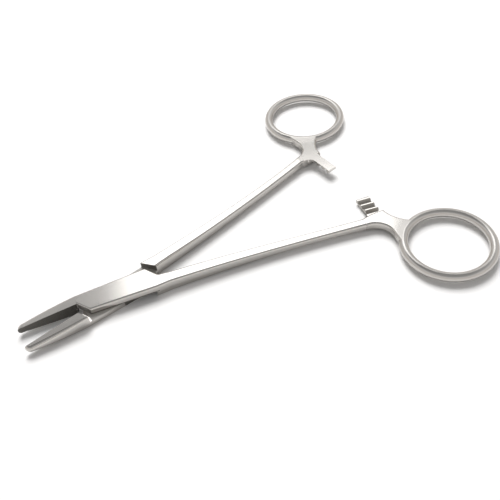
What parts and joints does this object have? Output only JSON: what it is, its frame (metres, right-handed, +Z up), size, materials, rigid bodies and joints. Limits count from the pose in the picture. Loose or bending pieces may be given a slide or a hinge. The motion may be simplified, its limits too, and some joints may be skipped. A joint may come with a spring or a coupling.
{
  "type": "surgical needle holder",
  "caption": "Hinged steel needle holder with slim blunt jaws, a riveted lap joint, long shanks, finger rings and interlocking ratchet bars.",
  "frame": {"origin": "on the pivot axis, in the flat underside of the joint", "axes": "+Z up along the pivot axis; the finger rings lie towards +X and the jaws towards -X, with the handles spread equally to each side"},
  "size_m": [0.1452, 0.1144, 0.0046],
  "materials": {
    "satin_steel": "satin polished stainless steel",
    "ground_steel": "stainless steel, ground flush"
  },
  "bodies": {
    "upper_half": {"upper_arm": "satin_steel", "pivot_rivet": "ground_steel"},
    "lower_half": {"lower_arm": "satin_steel"}
  },
  "joints": [
    {"name": "pivot", "type": "hinge", "parent": "upper_half", "child": "lower_half", "pos_m": [0, 0, 0.0023], "axis": [0, 0, 1], "range_deg": [-13.7, 46.3]}
  ]
}
